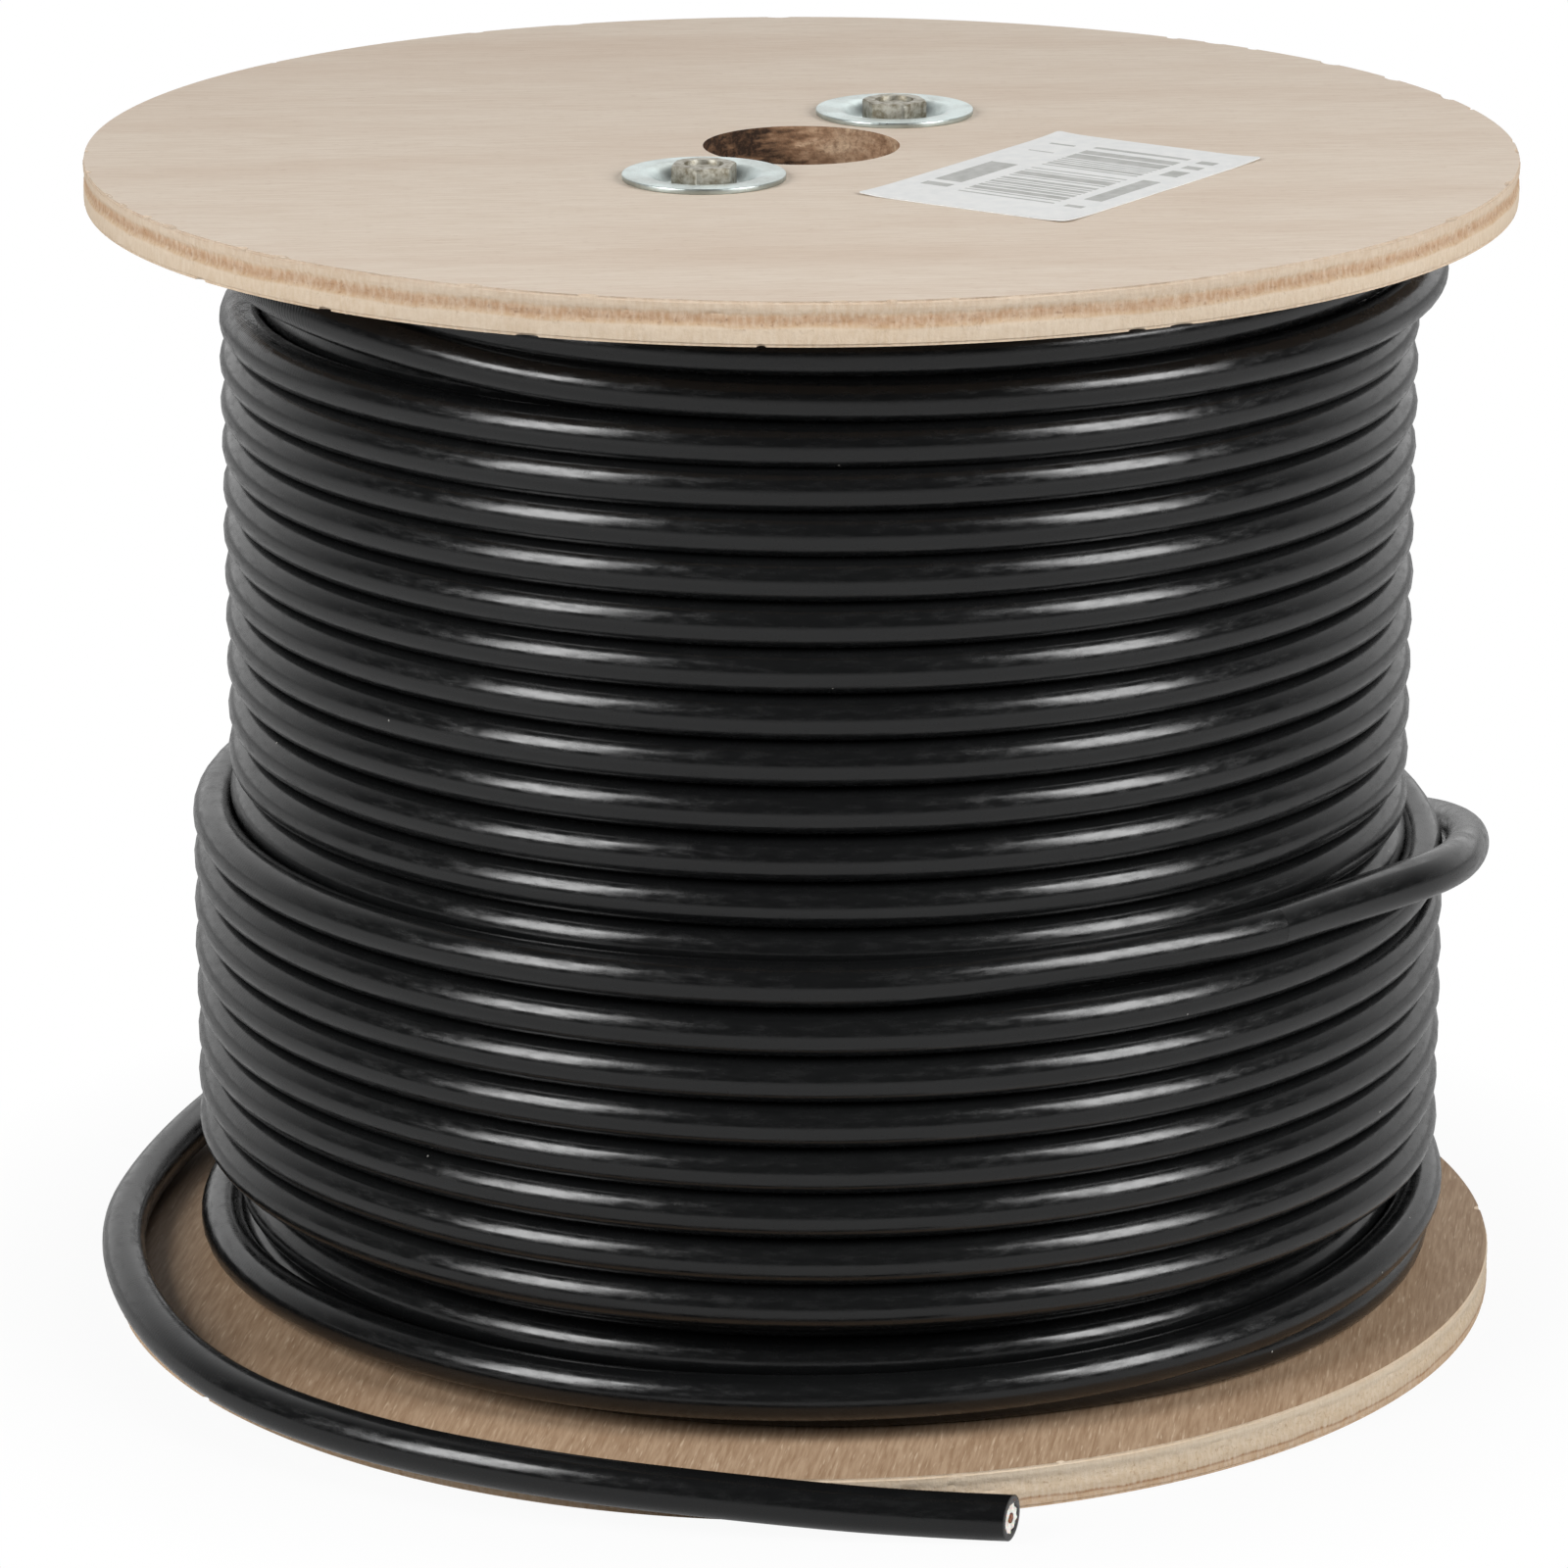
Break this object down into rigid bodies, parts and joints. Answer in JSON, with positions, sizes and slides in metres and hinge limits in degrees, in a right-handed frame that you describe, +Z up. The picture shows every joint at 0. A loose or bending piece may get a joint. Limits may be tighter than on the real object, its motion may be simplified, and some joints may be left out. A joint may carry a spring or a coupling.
{
  "type": "reel of coaxial cable",
  "caption": "Black coaxial cable wound on a plywood drum with a centre bore, its loose end lying round the bottom flange.",
  "frame": {"origin": "centre of the bottom flange's underside, on the floor", "axes": "+Z up along the arbor bore; the cut end of the cable lies on the -Y side"},
  "size_m": [0.3239, 0.3354, 0.2678],
  "materials": {
    "plywood": "raw sawn plywood, untreated",
    "cardboard": "wound brown board",
    "cable_jacket": "smooth black extruded jacket, satin to gloss",
    "copper_braid": "bare copper wire, cut",
    "dielectric": "milky white, cut",
    "copper": "bare copper, cut",
    "steel": "dull grey steel",
    "zinc_plated_steel": "bluish zinc plating",
    "paper": "matt white label paper"
  },
  "bodies": {
    "root": {"flange_bottom": "plywood", "flange_top": "plywood", "barrel": "cardboard", "winding": "cable_jacket", "cable_tail": "cable_jacket", "tail_braid": "copper_braid", "tail_dielectric": "dielectric", "tail_conductor": "copper", "bolt_a": "steel", "bolt_b": "steel", "nut_a": "steel", "nut_b": "steel", "cup_washer_top_a": "zinc_plated_steel", "cup_washer_top_b": "zinc_plated_steel", "cup_washer_bottom_a": "zinc_plated_steel", "cup_washer_bottom_b": "zinc_plated_steel", "label": "paper"}
  },
  "joints": []
}
